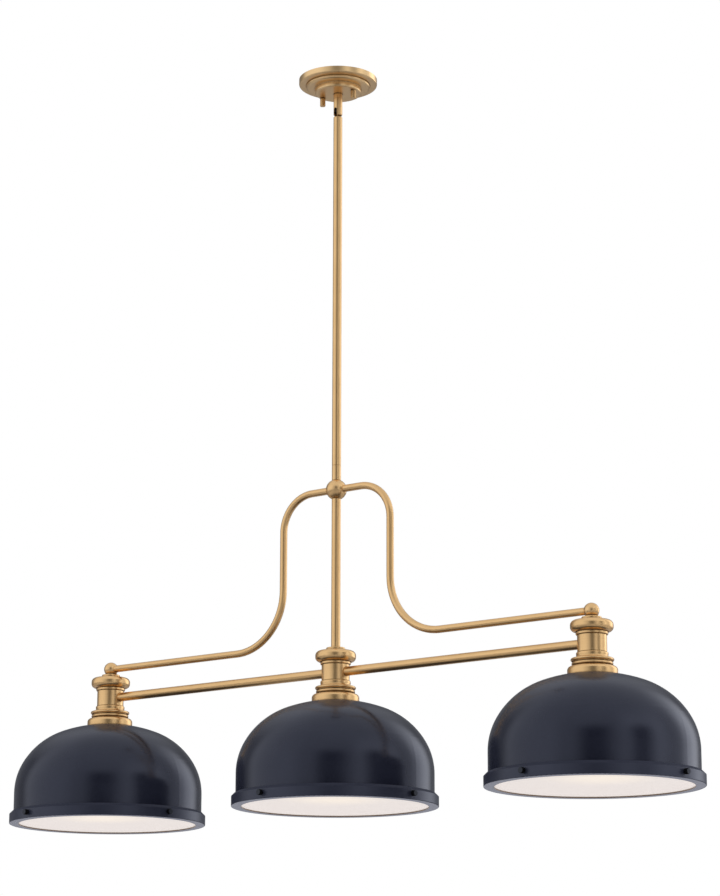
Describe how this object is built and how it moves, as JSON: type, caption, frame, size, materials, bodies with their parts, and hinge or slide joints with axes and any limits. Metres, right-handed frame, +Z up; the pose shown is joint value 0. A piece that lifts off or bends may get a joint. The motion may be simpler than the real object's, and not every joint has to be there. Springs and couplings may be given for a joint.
{
  "type": "linear island pendant",
  "caption": "Linear island pendant with domed shades under a straight bar, bowed arms, one central rod on a tilting swivel, and a stepped ceiling canopy.",
  "frame": {"origin": "middle of the ceiling plane, at the centre of the crossbar's back face", "axes": "+Z up; X along the bar, from the left shade to the right one in the picture; -Y towards the picture's side"},
  "size_m": [1.4083, 0.3702, 1.3232],
  "materials": {
    "brushed_brass": "brushed satin",
    "charcoal_paint": "satin",
    "opal_lens": "frosted",
    "opal_glass": "frosted",
    "black_screws": "black satin",
    "holder_plastic": "satin",
    "zinc_steel": "zinc plated",
    "lead_insulation": "matte"
  },
  "bodies": {
    "root": {"mounting_crossbar": "zinc_steel", "canopy_studs": "zinc_steel", "stud_lock_nuts": "zinc_steel", "canopy": "brushed_brass", "swivel_nipple": "zinc_steel", "nipple_lock_nut": "zinc_steel", "swivel_collar": "brushed_brass", "swivel_socket": "brushed_brass"},
    "canopy_nut_left": {"canopy_nut_left": "brushed_brass"},
    "canopy_nut_right": {"canopy_nut_right": "brushed_brass"},
    "swivel_ball": {"swivel_ball": "brushed_brass"},
    "fixture": {"swivel_stem": "brushed_brass", "long_rod": "brushed_brass", "rod_coupling": "brushed_brass", "hub_ball": "brushed_brass", "arm_left": "brushed_brass", "arm_right": "brushed_brass", "drop_rod": "brushed_brass", "bar_left": "brushed_brass", "bar_right": "brushed_brass", "end_ball_left": "brushed_brass", "end_ball_right": "brushed_brass", "lampholder_nipples": "zinc_steel", "wiring": "lead_insulation", "column_cap_left": "brushed_brass", "column_body_left": "brushed_brass", "shade_fitter_left": "brushed_brass", "shade_left": "charcoal_paint", "lampholder_left": "holder_plastic", "column_cap_center": "brushed_brass", "column_body_center": "brushed_brass", "shade_fitter_center": "brushed_brass", "shade_center": "charcoal_paint", "lampholder_center": "holder_plastic", "column_cap_right": "brushed_brass", "column_body_right": "brushed_brass", "shade_fitter_right": "brushed_brass", "shade_right": "charcoal_paint", "lampholder_right": "holder_plastic"},
    "bulb_left": {"bulb_left": "opal_glass"},
    "lens_ring_left": {"lens_ring_left": "charcoal_paint", "lens_left": "opal_lens"},
    "thumbscrew_left_1": {"thumbscrew_left_1": "black_screws"},
    "thumbscrew_left_2": {"thumbscrew_left_2": "black_screws"},
    "thumbscrew_left_3": {"thumbscrew_left_3": "black_screws"},
    "thumbscrew_left_4": {"thumbscrew_left_4": "black_screws"},
    "bulb_center": {"bulb_center": "opal_glass"},
    "lens_ring_center": {"lens_ring_center": "charcoal_paint", "lens_center": "opal_lens"},
    "thumbscrew_center_1": {"thumbscrew_center_1": "black_screws"},
    "thumbscrew_center_2": {"thumbscrew_center_2": "black_screws"},
    "thumbscrew_center_3": {"thumbscrew_center_3": "black_screws"},
    "thumbscrew_center_4": {"thumbscrew_center_4": "black_screws"},
    "bulb_right": {"bulb_right": "opal_glass"},
    "lens_ring_right": {"lens_ring_right": "charcoal_paint", "lens_right": "opal_lens"},
    "thumbscrew_right_1": {"thumbscrew_right_1": "black_screws"},
    "thumbscrew_right_2": {"thumbscrew_right_2": "black_screws"},
    "thumbscrew_right_3": {"thumbscrew_right_3": "black_screws"},
    "thumbscrew_right_4": {"thumbscrew_right_4": "black_screws"}
  },
  "joints": [
    {"name": "canopy_nut_left_slide", "type": "slide", "parent": "root", "child": "canopy_nut_left", "axis": [0, 0, -1], "range_m": [0, 0.012]},
    {"name": "canopy_nut_right_slide", "type": "slide", "parent": "root", "child": "canopy_nut_right", "axis": [0, 0, -1], "range_m": [0, 0.012]},
    {"name": "stem_tilt", "type": "hinge", "parent": "root", "child": "swivel_ball", "pos_m": [0, 0, -0.0603], "axis": [1, 0, 0], "range_deg": [-45, 0]},
    {"name": "stem_turn", "type": "hinge", "parent": "swivel_ball", "child": "fixture", "pos_m": [0, 0, -0.0603], "axis": [0, 0, 1], "range_deg": [-170, 170]},
    {"name": "bulb_left_slide", "type": "slide", "parent": "fixture", "child": "bulb_left", "axis": [0, 0, -1], "range_m": [0, 0.012]},
    {"name": "lens_ring_left_slide", "type": "slide", "parent": "fixture", "child": "lens_ring_left", "axis": [0, 0, -1], "range_m": [0, 0.05]},
    {"name": "thumbscrew_left_1_slide", "type": "slide", "parent": "lens_ring_left", "child": "thumbscrew_left_1", "axis": [0.9816, -0.1908, 0], "range_m": [0, 0.005]},
    {"name": "thumbscrew_left_2_slide", "type": "slide", "parent": "lens_ring_left", "child": "thumbscrew_left_2", "axis": [0.1908, 0.9816, 0], "range_m": [0, 0.005]},
    {"name": "thumbscrew_left_3_slide", "type": "slide", "parent": "lens_ring_left", "child": "thumbscrew_left_3", "axis": [-0.9816, 0.1908, 0], "range_m": [0, 0.005]},
    {"name": "thumbscrew_left_4_slide", "type": "slide", "parent": "lens_ring_left", "child": "thumbscrew_left_4", "axis": [-0.1908, -0.9816, 0], "range_m": [0, 0.005]},
    {"name": "bulb_center_slide", "type": "slide", "parent": "fixture", "child": "bulb_center", "axis": [0, 0, -1], "range_m": [0, 0.012]},
    {"name": "lens_ring_center_slide", "type": "slide", "parent": "fixture", "child": "lens_ring_center", "axis": [0, 0, -1], "range_m": [0, 0.05]},
    {"name": "thumbscrew_center_1_slide", "type": "slide", "parent": "lens_ring_center", "child": "thumbscrew_center_1", "axis": [0.9936, -0.1132, 0], "range_m": [0, 0.005]},
    {"name": "thumbscrew_center_2_slide", "type": "slide", "parent": "lens_ring_center", "child": "thumbscrew_center_2", "axis": [0.1132, 0.9936, 0], "range_m": [0, 0.005]},
    {"name": "thumbscrew_center_3_slide", "type": "slide", "parent": "lens_ring_center", "child": "thumbscrew_center_3", "axis": [-0.9936, 0.1132, 0], "range_m": [0, 0.005]},
    {"name": "thumbscrew_center_4_slide", "type": "slide", "parent": "lens_ring_center", "child": "thumbscrew_center_4", "axis": [-0.1132, -0.9936, 0], "range_m": [0, 0.005]},
    {"name": "bulb_right_slide", "type": "slide", "parent": "fixture", "child": "bulb_right", "axis": [0, 0, -1], "range_m": [0, 0.012]},
    {"name": "lens_ring_right_slide", "type": "slide", "parent": "fixture", "child": "lens_ring_right", "axis": [0, 0, -1], "range_m": [0, 0.05]},
    {"name": "thumbscrew_right_1_slide", "type": "slide", "parent": "lens_ring_right", "child": "thumbscrew_right_1", "axis": [0.9936, -0.1132, 0], "range_m": [0, 0.005]},
    {"name": "thumbscrew_right_2_slide", "type": "slide", "parent": "lens_ring_right", "child": "thumbscrew_right_2", "axis": [0.1132, 0.9936, 0], "range_m": [0, 0.005]},
    {"name": "thumbscrew_right_3_slide", "type": "slide", "parent": "lens_ring_right", "child": "thumbscrew_right_3", "axis": [-0.9936, 0.1132, 0], "range_m": [0, 0.005]},
    {"name": "thumbscrew_right_4_slide", "type": "slide", "parent": "lens_ring_right", "child": "thumbscrew_right_4", "axis": [-0.1132, -0.9936, 0], "range_m": [0, 0.005]}
  ]
}
